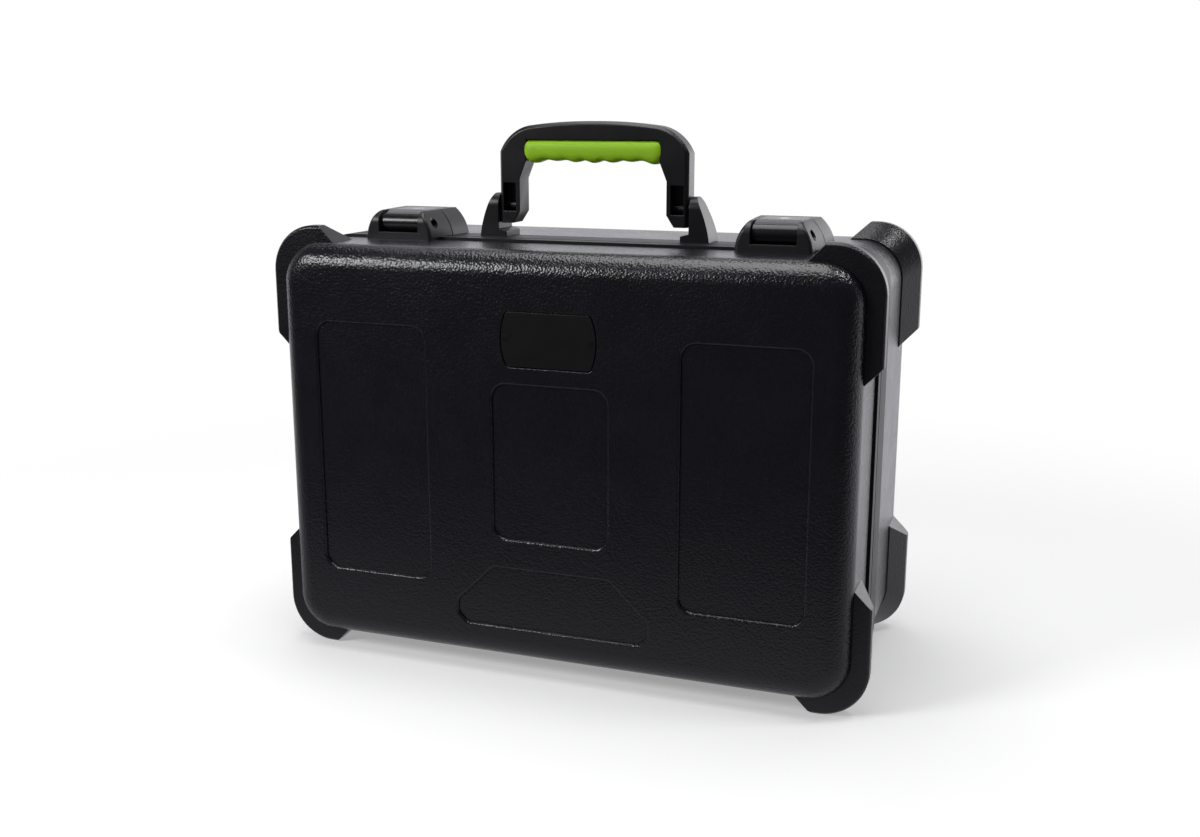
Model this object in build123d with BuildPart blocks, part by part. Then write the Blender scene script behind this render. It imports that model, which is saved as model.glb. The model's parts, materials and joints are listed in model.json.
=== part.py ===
from build123d import *
import os

os.makedirs("parts", exist_ok=True)

# Microphone case: a moulded lid and a moulded tray, each edged with half of a
# proud rail, two draw latches and a folding handle on top, two hinges underneath.
# Millimetres. The case stands as it is carried: +Z up, the lid faces -Y.
# The origin is on the ground, under the middle of the case.

# --- Driving dimensions ---------------------------------------------------
case_width = 500.0
case_height = 350.0
lid_depth = 99.0
tray_depth = 152.0
wall = 4.5
corner_radius = 34.0
lid_edge_radius = 20.0
tray_edge_radius = 24.0

# Corner bumpers, which are also the feet
bumper_out = 14.0
bumper_in = 4.0
bumper_round = 40.0
bumper_length = 32.0
bumper_rim = 11.0
bumper_toe = 1.0
bumper_inset = 17.5
bumper_leg_up = 93.0
bumper_leg_across = 46.0
bumper_edge = 2.0

# Sunk panels and the plate on the front of the lid
panel_sink = 2.5
panel_edge = 2.4
panel_corner = 12.0
side_panel_wide = 102.0
side_panel_margin = (36.6, 65.5)
middle_panel_half = 50.3
middle_panel_margins = (109.5, 108.5)
low_panel_top = 51.5
low_panel_bottom = 77.0
low_panel_wide = 85.0
low_panel_z = (31.0, 39.0, 50.0, 83.0)
low_panel_corner = 5.0
plate_half = 36.0
plate_bulge = 41.0
plate_height = 44.5
plate_corner = 4.0
plate_down = 70.5
plate_thick = 1.4
plate_pocket = 1.6
plate_gap = 0.9
plate_rivet_x = 36.8
plate_rivet_radius = 1.6
plate_rivet_head = 2.6

# Seam: each shell's half of the rail, and the seal between them
lid_edge_gap = 4.5
seam_gap = 0.3
rail_half = 22.0
rail_proud = 2.2
rail_corner = 31.0
rail_step = 2.0
rail_web = 4.0
rail_lip = 2.5
rail_lip_depth = 8.0
rail_groove = 2.4
rail_groove_deep = 0.8
rail_groove_y = 8.0
seal_width = 2.2
seal_out = 0.9
seal_in = 2.0
seal_room = 0.4
seal_down = 3.0

# Foam
foam_gap = 3.0
pad_gap = 0.5
lid_foam_thick = 25.0
tray_pad_thick = 21.0
tray_foam_front = 10.0
drop_columns = 5
drop_rows = 3
drop_radius = 26.0
drop_pitch_x = 92.0
drop_pitch_z = 104.0

# Latches
latch_x = 166.5
latch_beyond_front = (12.5, 1.5)
latch_beyond_seam = (17.0, 4.5)
latch_beyond_rear = (19.5, 6.5)
latch_height = 24.5
latch_front = 35.0
latch_rear = 31.5
latch_bulge = 2.0
latch_rear_slope = 3.0
latch_round = 3.0
latch_wall_gap = 0.5
lever_half = 18.5
lever_side_gap = 0.5
barrel_radius = 8.0
barrel_y = -23.0
barrel_z = 14.0
barrel_blend = 0.1
lever_thick = 4.5
lever_end = 24.0
lever_lip = 4.0
lever_lip_bottom = 8.5
lever_end_bevel = 2.0
lever_lip_bevel = (1.0, 1.5)
lever_root = (8.5, 11.0)
lever_web = (1.0, 1.5)
channel_sill = 6.0
channel_floor = 7.5
channel_end_gap = 0.6
catch_y = (13.0, 19.4)
catch_top = 18.5
catch_slot = (12.4, 16.2)
catch_slot_deep = 4.5
latch_pin_radius = 2.5
latch_pin_half = 26.0
latch_dish_radius = 4.5
running_gap = 0.05
lock_radius = 6.0
lock_y = 5.0
lock_tab_thick = 2.6
lock_tab_z = 13.0
lock_tab_reach = 11.0
lock_tab_half = 2.2
lock_key_slot = (6.0, 1.4, 2.0)

# Handle
handle_half = 85.5
handle_stem = 19.0
handle_front = 2.0
handle_depth = 21.0
handle_top = 101.0
handle_brow = (30.0, 100.1)
handle_shoulder = (58.6, 97.2)
handle_corner = (75.2, 89.1)
handle_shoulder_low = 75.0
handle_bottom = 14.0
handle_toe = (6.5, 10.0)
handle_knee = (60.0, 68.0, 52.0)
handle_bevel = 2.6
handle_pocket = (11.0, 24.0, 11.0)
handle_pocket_low = 24.5
pivot_up = 29.0
pivot_radius = 4.0
pivot_ends = (3.0, 2.5)
pivot_end_gap = 0.3
grip_half = 63.5
grip_top = 85.5
grip_bottom = 66.0
grip_proud = 2.0
grip_round = 7.0
grip_cuts = 6
grip_cut_radius = 15.0
grip_cut_deep = 1.8

# Handle brackets
ear_gap = 0.9
ear_top_thick = 8.5
bracket_foot_out = 104.5
bracket_foot_in = 79.0
bracket_foot_high = 9.0
bracket_front = 1.0
bracket_back = 30.5
bracket_round = 11.5
bracket_tip = 10.5
bracket_tip_slope = 3.0
bracket_foot_slope = 2.0
bracket_bow = (4.5, 3.0)

# Hinges
hinge_x = 150.0
hinge_length = 60.0
hinge_knuckles = 5
hinge_radius = 4.0
hinge_clear = 0.2
hinge_pin_radius = 2.0
hinge_leaf = 2.0
hinge_leaf_reach = 19.0
hinge_space = 0.3
hinge_relief = 0.6

# Fasteners
screw_radius = 2.0
head_radius = 3.6
head_high = 1.4
screw_bite = 6.0
rail_screw_y = 12.5
shell_screw_y = 27.0
latch_screw_x = 27.0
bracket_screw_x = 95.0
hinge_rivet_x = 20.0

# --- Places worked out from the dimensions --------------------------------
foot = bumper_out
seam = (lid_depth - tray_depth) / 2
lid_front = seam - lid_depth
tray_back = seam + tray_depth
bottom = foot
top = foot + case_height
middle_z = foot + case_height / 2
rail_top = top + rail_proud
lid_rim = seam - rail_half - lid_edge_gap
tray_rim = seam + rail_half
lid_edge = seam - seam_gap
pivot_y = seam + handle_front + handle_depth / 2
pivot_z = top + pivot_up
hinge_z = bottom - rail_proud - hinge_clear - hinge_radius
lever_room = lever_half + lever_side_gap
sides = (("left", -1), ("right", 1))
big = 1000.0
past = 1.0


def upright(y):
    """A plane that faces the front, at depth y: its x is X and its y is Z."""
    return Plane(origin=(0, y, 0), x_dir=(1, 0, 0), z_dir=(0, -1, 0))


def profile_plane(x):
    """A plane that faces +X: its x is Y and its y is Z."""
    return Plane(origin=(x, 0, 0), x_dir=(0, 1, 0), z_dir=(1, 0, 0))


def save(part, name):
    part.label = name
    export_step(part, f"parts/{name}.step")


def outline(grow, radius=None):
    """The case's front outline, grown or shrunk all round."""
    corner = corner_radius + grow if radius is None else radius
    with BuildSketch(mode=Mode.PRIVATE) as shape:
        with Locations((0, middle_z)):
            RectangleRounded(case_width + 2 * grow, case_height + 2 * grow, corner)
    return shape.sketch


def band(outer, inner, radius=None):
    """A closed band that follows the case's outline, between two offsets from it."""
    with BuildSketch(mode=Mode.PRIVATE) as shape:
        add(outline(outer, radius))
        add(outline(inner), mode=Mode.SUBTRACT)
    return shape.sketch


def rounded_body(y_rim, y_end, edge_radius):
    """A shell's outside: the outline from its rim to its far face, whose edge is rolled over."""
    with BuildPart(mode=Mode.PRIVATE) as body:
        with BuildSketch(upright(y_rim)):
            add(outline(0))
        extrude(amount=y_rim - y_end)
        by_depth = body.faces().sort_by(Axis.Y)
        far_face = by_depth[0] if y_end < y_rim else by_depth[-1]
        fillet(far_face.edges(), edge_radius)
    return body.part


def bumper_corner(sx, sz):
    """One corner's band, seen from the front: each leg ends in a 45 degree slope."""
    half_w = case_width / 2
    half_h = case_height / 2
    across = half_w - bumper_leg_across
    up = half_h - bumper_leg_up
    far = 5 * bumper_out
    with BuildSketch(mode=Mode.PRIVATE) as ring:
        add(outline(bumper_out, bumper_round))
        add(outline(-bumper_in), mode=Mode.SUBTRACT)
    with BuildSketch(mode=Mode.PRIVATE) as shape:
        with BuildLine():
            Polyline(
                (sx * (across - bumper_in), middle_z + sz * (half_h - bumper_in)),
                (sx * (across + far), middle_z + sz * (half_h + far)),
                (sx * (half_w + far), middle_z + sz * (half_h + far)),
                (sx * (half_w + far), middle_z + sz * (up + far)),
                (sx * (half_w - bumper_in), middle_z + sz * (up - bumper_in)),
                close=True,
            )
        make_face()
        add(ring.sketch, mode=Mode.INTERSECT)
    return shape.sketch


def buttress(y_flat, towards):
    """The bumpers' outside: a flat face, a rim, then a slope down to the shell."""
    y_rim = y_flat + towards * bumper_rim
    with BuildPart(mode=Mode.PRIVATE) as body:
        with BuildSketch(upright(y_rim)):
            add(outline(bumper_out, bumper_round))
        with BuildSketch(upright(y_flat + towards * bumper_length)):
            add(outline(bumper_toe))
        loft(ruled=True)
        with BuildSketch(upright(y_flat)):
            add(outline(bumper_out, bumper_round))
        extrude(amount=-towards * bumper_rim)
    return body.part


def outside_case(point):
    """True where a point stands well outside the case's straight sides."""
    reach = bumper_out / 2
    beyond_side = abs(point.X) > case_width / 2 + reach
    beyond_top = abs(point.Z - middle_z) > case_height / 2 + reach
    dx = abs(point.X) - (case_width / 2 + bumper_out - bumper_round)
    dz = abs(point.Z - middle_z) - (case_height / 2 + bumper_out - bumper_round)
    on_arc = dx > 0 and dz > 0 and (dx * dx + dz * dz) ** 0.5 > bumper_round - bumper_edge
    return beyond_side or beyond_top or on_arc


def fasteners(name, spots, z_low, z_high):
    """Vertical screws or rivets, one solid at each (x, y), each with a round head below."""
    with BuildPart() as group:
        with Locations(*[(x, y, z_low) for x, y in spots]):
            Cylinder(screw_radius, z_high - z_low, align=(Align.CENTER, Align.CENTER, Align.MIN))
        with Locations(*[(x, y, z_low - head_high) for x, y in spots]):
            Cylinder(head_radius, head_high, align=(Align.CENTER, Align.CENTER, Align.MIN))
    save(group.part, name)


def drill(spots, z_low, z_high):
    """Cut the fasteners' holes in the part being built."""
    with Locations(*[(x, y, z_low) for x, y in spots]):
        Cylinder(
            screw_radius,
            z_high - z_low,
            align=(Align.CENTER, Align.CENTER, Align.MIN),
            mode=Mode.SUBTRACT,
        )


def rail_edge(towards, y_face):
    """Half of the rail: a channel over a shell's edge. Towards is +1 for the tray and -1 for the lid."""
    y_web = seam + towards * rail_web
    y_lip = seam + towards * rail_lip_depth
    y_far = seam + towards * rail_half
    with BuildPart(mode=Mode.PRIVATE) as edge:
        with BuildSketch(upright(y_face)):
            add(band(rail_proud, -wall - rail_lip, rail_corner))
        extrude(amount=y_face - y_web)
        with BuildSketch(upright(y_web)):
            add(band(rail_proud, -rail_step, rail_corner))
        extrude(amount=y_web - y_far)
        with BuildSketch(upright(y_web)):
            add(band(-wall, -wall - rail_lip))
        extrude(amount=y_web - y_lip)
    return edge.part


def seat_on_rail():
    """Cut the rail's place out of a piece that stands on it and on the shell beyond it."""
    with Locations((0, seam, top)):
        Box(case_width, 2 * rail_half, 2 * rail_proud, mode=Mode.SUBTRACT)


latch_screw_xs = [sx * latch_x + dx for _, sx in sides for dx in (-latch_screw_x, latch_screw_x)]
latch_tray_spots = [(x, seam + y) for x in latch_screw_xs for y in (rail_screw_y, shell_screw_y)]
latch_lid_spots = [(x, seam - rail_screw_y) for x in latch_screw_xs]
bracket_spots = [
    (sx * bracket_screw_x, seam + y) for _, sx in sides for y in (rail_screw_y, shell_screw_y)
]
hinge_rivet_xs = [sx * hinge_x + dx for _, sx in sides for dx in (-hinge_rivet_x, hinge_rivet_x)]
hinge_tray_spots = [(x, seam + rail_screw_y) for x in hinge_rivet_xs]
hinge_lid_spots = [(x, seam - rail_screw_y) for x in hinge_rivet_xs]
plate_z = top - plate_down


# --- Lid --------------------------------------------------------------------
def plate_outline(grow):
    """The plate: straight top and bottom, ends bowed out round its rivets."""
    half = plate_half + grow
    bulge = plate_bulge + grow
    high = plate_height / 2 + grow
    low, upper = plate_z - high, plate_z + high
    with BuildSketch(mode=Mode.PRIVATE) as shape:
        with BuildLine():
            Line((-half, upper), (half, upper))
            ThreePointArc((half, upper), (bulge, plate_z), (half, low))
            Line((half, low), (-half, low))
            ThreePointArc((-half, low), (-bulge, plate_z), (-half, upper))
        make_face()
        fillet(shape.vertices(), plate_corner + grow)
    return shape.sketch


def panels():
    """The four sunk panels of the lid's front."""
    with BuildSketch(mode=Mode.PRIVATE) as shape:
        side_margin, end_margin = side_panel_margin
        side_panel_x = case_width / 2 - side_margin - side_panel_wide / 2
        for sx in (-1, 1):
            with Locations((sx * side_panel_x, middle_z)):
                RectangleRounded(side_panel_wide, case_height - 2 * end_margin, panel_corner)
        below, above = middle_panel_margins
        with Locations((0, middle_z + (below - above) / 2)):
            RectangleRounded(2 * middle_panel_half, case_height - below - above, panel_corner)
        with BuildSketch(mode=Mode.PRIVATE) as low:
            z_low, z_kink, z_mid, z_high = (foot + z for z in low_panel_z)
            with BuildLine():
                Polyline(
                    (-low_panel_top, z_high),
                    (low_panel_top, z_high),
                    (low_panel_wide, z_mid),
                    (low_panel_wide, z_kink),
                    (low_panel_bottom, z_low),
                    (-low_panel_bottom, z_low),
                    (-low_panel_wide, z_kink),
                    (-low_panel_wide, z_mid),
                    close=True,
                )
            make_face()
            fillet(low.vertices(), low_panel_corner)
        add(low.sketch)
    return shape.sketch


with BuildPart() as lid_shell:
    add(rounded_body(lid_rim, lid_front, lid_edge_radius))
    with BuildSketch(upright(seam - rail_web)):
        add(outline(-rail_step))
    extrude(amount=rail_half + lid_edge_gap - rail_web)
    with BuildSketch(upright(lid_front)):
        add(panels())
    extrude(amount=-panel_sink, mode=Mode.SUBTRACT)
    shoulders = lid_shell.edges().filter_by(lambda e: abs(e.center().Y - lid_front) < 0.01)
    outer_loop = lid_shell.faces().sort_by(Axis.Y)[0].outer_wire().edges()
    outer_middles = [e @ 0.5 for e in outer_loop]
    rims = [e for e in shoulders if min((e @ 0.5 - m).length for m in outer_middles) > 0.1]
    fillet(rims, panel_edge)
    with BuildSketch(upright(lid_front)):
        add(plate_outline(plate_gap))
    extrude(amount=-plate_pocket, mode=Mode.SUBTRACT)
    with BuildPart(mode=Mode.PRIVATE) as lid_room:
        with BuildSketch(upright(seam)):
            add(outline(-wall))
        extrude(amount=lid_depth - wall)
        fillet(lid_room.faces().sort_by(Axis.Y)[0].edges(), lid_edge_radius - wall)
    add(lid_room.part, mode=Mode.SUBTRACT)
    with Locations(*[(sx * plate_rivet_x, lid_front, plate_z) for sx in (-1, 1)]):
        Cylinder(plate_rivet_radius, 2 * (wall + past), rotation=(90, 0, 0), mode=Mode.SUBTRACT)
    drill(latch_lid_spots, top - wall - past, top + past)
    drill(hinge_lid_spots, bottom - past, bottom + wall + past)
save(lid_shell.part, "lid_shell")

with BuildPart() as lid_rail:
    add(rail_edge(-1, lid_edge))
    with BuildSketch(upright(seam - rail_groove_y)):
        add(band(rail_proud + past, rail_proud - rail_groove_deep, rail_corner))
    extrude(amount=rail_groove, mode=Mode.SUBTRACT)
    with BuildSketch(upright(lid_edge)):
        add(band(-seal_down + seal_width / 2, -seal_down - seal_width / 2))
    extrude(amount=seal_in, mode=Mode.SUBTRACT)
    drill(latch_lid_spots, top - rail_step - past, top + rail_proud + past)
    drill(hinge_lid_spots, bottom - rail_proud - past, bottom + rail_step + past)
save(lid_rail.part, "lid_rail")

with BuildPart() as lid_seal:
    with BuildSketch(upright(seam + seal_out)):
        add(band(-seal_down + seal_width / 2, -seal_down - seal_width / 2))
    extrude(amount=seal_out + seam_gap + seal_in)
save(lid_seal.part, "lid_seal")

with BuildPart() as lid_foam:
    foam_back = lid_front + wall + lid_foam_thick
    with BuildSketch(upright(foam_back)):
        add(outline(-wall - pad_gap))
    extrude(amount=lid_foam_thick)
    fillet(lid_foam.faces().sort_by(Axis.Y)[0].edges(), lid_edge_radius - wall)
save(lid_foam.part, "lid_foam")

with BuildPart() as name_plate:
    plate_front = lid_front + plate_pocket - plate_thick
    with BuildSketch(upright(lid_front + plate_pocket)):
        add(plate_outline(0))
    extrude(amount=plate_thick)
    with Locations(*[(sx * plate_rivet_x, plate_front, plate_z) for sx in (-1, 1)]):
        Cylinder(plate_rivet_radius, 4 * plate_thick, rotation=(90, 0, 0), mode=Mode.SUBTRACT)
save(name_plate.part, "name_plate")

with BuildPart() as name_plate_rivets:
    for sx in (-1, 1):
        with BuildSketch(upright(plate_front)):
            with Locations((sx * plate_rivet_x, plate_z)):
                Circle(plate_rivet_head)
        extrude(amount=plate_front - lid_front)
        with BuildSketch(upright(plate_front)):
            with Locations((sx * plate_rivet_x, plate_z)):
                Circle(plate_rivet_radius)
        extrude(amount=-(plate_thick + wall - plate_pocket))
save(name_plate_rivets.part, "name_plate_rivets")

# --- Tray -------------------------------------------------------------------
with BuildPart() as tray_shell:
    add(rounded_body(tray_rim, tray_back, tray_edge_radius))
    with BuildSketch(upright(seam + rail_web)):
        add(outline(-rail_step))
    extrude(amount=rail_web - rail_half)
    with BuildPart(mode=Mode.PRIVATE) as tray_room:
        with BuildSketch(upright(tray_back - wall)):
            add(outline(-wall))
        extrude(amount=tray_depth - wall)
        fillet(tray_room.faces().sort_by(Axis.Y)[-1].edges(), tray_edge_radius - wall)
    add(tray_room.part, mode=Mode.SUBTRACT)
    drill(latch_tray_spots + bracket_spots, top - wall - past, top + past)
    drill(hinge_tray_spots, bottom - past, bottom + wall + past)
save(tray_shell.part, "tray_shell")

with BuildPart() as tray_rail:
    add(rail_edge(1, seam))
    with BuildSketch(upright(seam)):
        half_room = seal_width / 2 + seal_room
        add(band(half_room - seal_down, -half_room - seal_down))
    extrude(amount=-(seal_out + seal_room), mode=Mode.SUBTRACT)
    drill(latch_tray_spots + bracket_spots, top - rail_step - past, top + rail_proud + past)
    drill(hinge_tray_spots, bottom - rail_proud - past, bottom + rail_step + past)
save(tray_rail.part, "tray_rail")

with BuildPart() as tray_pad:
    with BuildSketch(upright(tray_back - wall)):
        add(outline(-wall - pad_gap))
    extrude(amount=tray_pad_thick)
    fillet(tray_pad.faces().sort_by(Axis.Y)[-1].edges(), tray_edge_radius - wall)
save(tray_pad.part, "tray_pad")

# The microphone block is cut from foam in four courses, which meet along the
# middles of the three rows of round drop holes.
row_heights = [middle_z + (row - (drop_rows - 1) / 2) * drop_pitch_z for row in range(drop_rows)]
column_places = [(col - (drop_columns - 1) / 2) * drop_pitch_x for col in range(drop_columns)]
foam_front_y = seam + tray_foam_front
foam_back_y = tray_back - wall - tray_pad_thick
foam_half_high = case_height / 2 - wall - foam_gap
cuts = [middle_z - foam_half_high] + row_heights + [middle_z + foam_half_high]
for course in range(drop_rows + 1):
    with BuildPart() as foam_course:
        low, high = cuts[course], cuts[course + 1]
        with BuildSketch(upright(foam_front_y)):
            add(outline(-wall - foam_gap))
            with Locations((0, (low + high) / 2)):
                Rectangle(case_width, high - low, mode=Mode.INTERSECT)
            with Locations(*[(x, z) for x in column_places for z in row_heights]):
                Circle(drop_radius, mode=Mode.SUBTRACT)
        extrude(amount=-(foam_back_y - foam_front_y))
    save(foam_course.part, f"microphone_foam_{course + 1}")


# --- Corner bumpers -----------------------------------------------------------
bumper_owners = (
    ("lid", rounded_body(lid_rim, lid_front, lid_edge_radius), lid_front + bumper_inset, 1),
    ("tray", rounded_body(tray_rim, tray_back, tray_edge_radius), tray_back - bumper_inset, -1),
)
for owner, shell_outside, y_flat, towards in bumper_owners:
    for level, sz in (("lower", -1), ("upper", 1)):
        for side, sx in sides:
            with BuildPart() as bumper:
                with BuildSketch(upright(y_flat)):
                    add(bumper_corner(sx, sz))
                extrude(amount=-towards * bumper_length)
                add(buttress(y_flat, towards), mode=Mode.INTERSECT)
                flat_face = bumper.faces().filter_by(Axis.Y).sort_by(SortBy.AREA)[-1]
                chamfer([e for e in flat_face.edges() if outside_case(e @ 0.5)], bumper_edge)
                add(shell_outside, mode=Mode.SUBTRACT)
            save(bumper.part, f"{owner}_bumper_{level}_{side}")


# --- Latches ----------------------------------------------------------------
def latch_section(x_middle, beyond, y, z_low):
    """A latch housing's outline from the front at one depth: a hump with bowed ends."""
    half_low, half_top = (lever_room + cheek for cheek in beyond)
    high = top + latch_height
    mid_x = (half_low + half_top) / 2 + latch_bulge
    mid_z = (z_low + high) / 2 + latch_bulge
    with BuildSketch(upright(y), mode=Mode.PRIVATE) as section:
        with BuildLine():
            for side in (-1, 1):
                ThreePointArc(
                    (x_middle + side * half_low, z_low),
                    (x_middle + side * mid_x, mid_z),
                    (x_middle + side * half_top, high),
                )
            Line((x_middle - half_low, z_low), (x_middle + half_low, z_low))
            Line((x_middle - half_top, high), (x_middle + half_top, high))
        make_face()
    return section.sketch


def latch_box(x_middle, half_wide, y_from, y_to, z_low, z_high, mode):
    """A box between two depths and two heights above the case's top."""
    with Locations((x_middle, seam + (y_from + y_to) / 2, top + (z_low + z_high) / 2)):
        Box(2 * half_wide, y_to - y_from, z_high - z_low, mode=mode)


for side, sx in sides:
    xm = sx * latch_x
    barrel = (seam + barrel_y, top + barrel_z)

    with BuildPart() as latch_front_housing:
        front_section = latch_section(xm, latch_beyond_front, seam - latch_front, top)
        seam_section = latch_section(xm, latch_beyond_seam, seam - latch_wall_gap, top)
        loft(sections=(front_section, seam_section))
        with BuildSketch(profile_plane(xm)) as ear_side:
            with Locations((barrel[0], barrel[1])):
                Ellipse(latch_front + barrel_y, latch_height - barrel_z)
            with Locations((seam - latch_front / 2, top)):
                Rectangle(latch_front, barrel_z, align=(Align.CENTER, Align.MIN))
            with Locations((seam + barrel_y / 2, top)):
                Rectangle(-barrel_y, latch_height, align=(Align.CENTER, Align.MIN))
        extrude(amount=big / 4, both=True, mode=Mode.INTERSECT)
        front_edges = latch_front_housing.faces().sort_by(Axis.Y)[0].edges()
        uprights = [e for e in front_edges if abs((e % 0.5).Z) > 0.5]
        fillet(uprights, latch_round)
        y_from, z_to = -latch_front - past, latch_height + past
        latch_box(xm, lever_room, y_from, 0, channel_sill, z_to, Mode.SUBTRACT)
        seat_on_rail()
        with Locations((xm, *barrel)):
            Cylinder(latch_pin_radius, big / 4, rotation=(0, 90, 0), mode=Mode.SUBTRACT)
        dish_long = latch_beyond_seam[0]
        dish_middle = latch_pin_half + past + dish_long / 2
        with Locations(*[(xm + end * dish_middle, *barrel) for end in (-1, 1)]):
            Cylinder(latch_dish_radius, dish_long, rotation=(0, 90, 0), mode=Mode.SUBTRACT)
        near = [s for s in latch_lid_spots if s[0] * sx > 0]
        drill(near, top, rail_top + screw_bite)
    save(latch_front_housing.part, f"latch_front_{side}")

    with BuildPart() as latch_pin:
        with Locations((xm, *barrel)):
            Cylinder(latch_pin_radius, 2 * latch_pin_half, rotation=(0, 90, 0))
    save(latch_pin.part, f"latch_pin_{side}")

    with BuildPart() as latch_rear_housing:
        seam_section = latch_section(xm, latch_beyond_seam, seam + latch_wall_gap, top)
        rear_section = latch_section(xm, latch_beyond_rear, seam + latch_rear, top)
        loft(sections=(seam_section, rear_section))
        rear_face = latch_rear_housing.faces().sort_by(Axis.Y)[-1]
        chamfer([e for e in rear_face.edges() if (e @ 0.5).Z > top + past], latch_rear_slope)
        end, z_to = lever_end + channel_end_gap, latch_height + past
        latch_box(xm, lever_room, 0, end, channel_floor, z_to, Mode.SUBTRACT)
        latch_box(xm, lever_room, *catch_y, channel_floor, catch_top, Mode.ADD)
        slot_low, slot_high = catch_slot
        slot_half = lock_tab_reach
        slot_end = catch_y[0] + catch_slot_deep
        latch_box(xm, slot_half, catch_y[0] - past, slot_end, slot_low, slot_high, Mode.SUBTRACT)
        seat_on_rail()
        near = [s for s in latch_tray_spots if s[0] * sx > 0]
        drill(near, top - past, rail_top + screw_bite)
    save(latch_rear_housing.part, f"latch_rear_{side}")

    with BuildPart() as latch_lever:
        with BuildSketch(profile_plane(xm)) as lever_side:
            plate_top = top + latch_height
            plate_under = plate_top - lever_thick
            end = seam + lever_end
            lip_low = top + lever_lip_bottom
            lip_out, lip_in = lever_lip_bevel
            root_top, root_under = lever_root
            web_front, web_back = lever_web
            with Locations(barrel):
                Circle(barrel_radius)
            with BuildLine():
                Polyline(
                    (barrel[0] - web_front, barrel[1] + barrel_radius - barrel_blend),
                    (barrel[0] + root_top, plate_top),
                    (end - lever_end_bevel, plate_top),
                    (end, plate_top - lever_end_bevel),
                    (end, lip_low + lip_out),
                    (end - lip_out, lip_low),
                    (end - lever_lip + lip_in, lip_low),
                    (end - lever_lip, lip_low + lip_in),
                    (end - lever_lip, plate_under),
                    (barrel[0] + root_under, plate_under),
                    (barrel[0] + barrel_radius - web_back, barrel[1]),
                    (barrel[0] - web_front, barrel[1]),
                    close=True,
                )
            make_face()
        extrude(amount=lever_half, both=True)
        with Locations((xm, *barrel)):
            Cylinder(
                latch_pin_radius + running_gap,
                4 * lever_half,
                rotation=(0, 90, 0),
                mode=Mode.SUBTRACT,
            )
        with Locations((xm, seam + lock_y, plate_under)):
            Cylinder(lock_radius + running_gap, 4 * lever_thick, mode=Mode.SUBTRACT)
    save(latch_lever.part, f"latch_lever_{side}")

    with BuildPart() as latch_lock:
        with BuildSketch(Plane.XY.offset(top + lock_tab_z)):
            with Locations((xm, seam + lock_y)):
                Circle(lock_radius)
        extrude(amount=latch_height - lock_tab_z)
        with BuildSketch(Plane.XY.offset(top + lock_tab_z)):
            with Locations((xm + sx * lock_tab_reach / 2, seam + lock_y)):
                Rectangle(lock_tab_reach, 2 * lock_tab_half)
        extrude(amount=lock_tab_thick)
        with Locations((xm, seam + lock_y, top + latch_height)):
            Box(*lock_key_slot, mode=Mode.SUBTRACT)
    save(latch_lock.part, f"latch_lock_{side}")

# --- Handle -----------------------------------------------------------------
def on_handle_outside(point):
    """True on the outer rim of the handle's front and back, not round the hand's opening."""
    on_stem = abs(point.X) > handle_half - 1
    on_corner = abs(point.X) > handle_knee[0] + 2 and point.Z > top + handle_shoulder_low
    on_crown = point.Z > top + grip_top + 2
    return on_stem or on_corner or on_crown


with BuildPart() as handle_frame:
    with BuildSketch(upright(seam + handle_front)):
        inner = handle_half - handle_stem
        knee_x, knee_high, knee_low = handle_knee
        for sx in (-1, 1):
            with BuildLine():
                start = (0, top + handle_top)
                brow = (sx * handle_brow[0], top + handle_brow[1])
                shoulder = (sx * handle_shoulder[0], top + handle_shoulder[1])
                corner = (sx * handle_corner[0], top + handle_corner[1])
                low = (sx * handle_half, top + handle_shoulder_low)
                ThreePointArc(start, brow, shoulder)
                ThreePointArc(shoulder, corner, low)
                Polyline(
                    low,
                    (sx * handle_half, top + handle_bottom),
                    (sx * (inner + handle_toe[0]), top + handle_bottom),
                    (sx * inner, top + handle_bottom + handle_toe[1]),
                    (sx * inner, top + knee_low),
                    (sx * knee_x, top + knee_high),
                    (sx * knee_x, top + grip_top),
                    (0, top + grip_top),
                    start,
                )
            make_face()
    extrude(amount=-handle_depth)
    flat_faces = handle_frame.faces().filter_by(Axis.Y)
    outer_rims = [e for e in flat_faces.edges() if on_handle_outside(e @ 0.5)]
    chamfer(outer_rims, handle_bevel)
    for sx in (-1, 1):
        pocket_wide, pocket_high, pocket_deep = handle_pocket
        pocket_x = sx * (handle_half - handle_stem / 2)
        pocket_z = top + handle_pocket_low + pocket_high / 2
        with Locations((pocket_x, seam + handle_front + (pocket_deep - past) / 2, pocket_z)):
            Box(pocket_wide, pocket_deep + past, pocket_high, mode=Mode.SUBTRACT)
    pin_in = handle_half - handle_stem + pivot_ends[0]
    for sx in (-1, 1):
        bore_from, bore_to = pin_in - pivot_end_gap, handle_half + past
        with Locations((sx * (bore_from + bore_to) / 2, pivot_y, pivot_z)):
            Cylinder(
                pivot_radius + running_gap,
                bore_to - bore_from,
                rotation=(0, 90, 0),
                mode=Mode.SUBTRACT,
            )
save(handle_frame.part, "handle_frame")

with BuildPart() as handle_grip:
    grip_plane = upright(seam + handle_front - grip_proud)
    with BuildSketch(grip_plane):
        with Locations((0, top + (grip_top + grip_bottom) / 2)):
            RectangleRounded(2 * grip_half, grip_top - grip_bottom, grip_round)
        span = 2 * (grip_half - grip_round) / grip_cuts
        for finger in range(grip_cuts):
            finger_x = (finger - (grip_cuts - 1) / 2) * span
            with Locations((finger_x, top + grip_bottom + grip_cut_deep - grip_cut_radius)):
                Circle(grip_cut_radius, mode=Mode.SUBTRACT)
    extrude(amount=-(handle_depth + 2 * grip_proud))
    add(handle_frame.part, mode=Mode.SUBTRACT)
save(handle_grip.part, "handle_grip")

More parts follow.
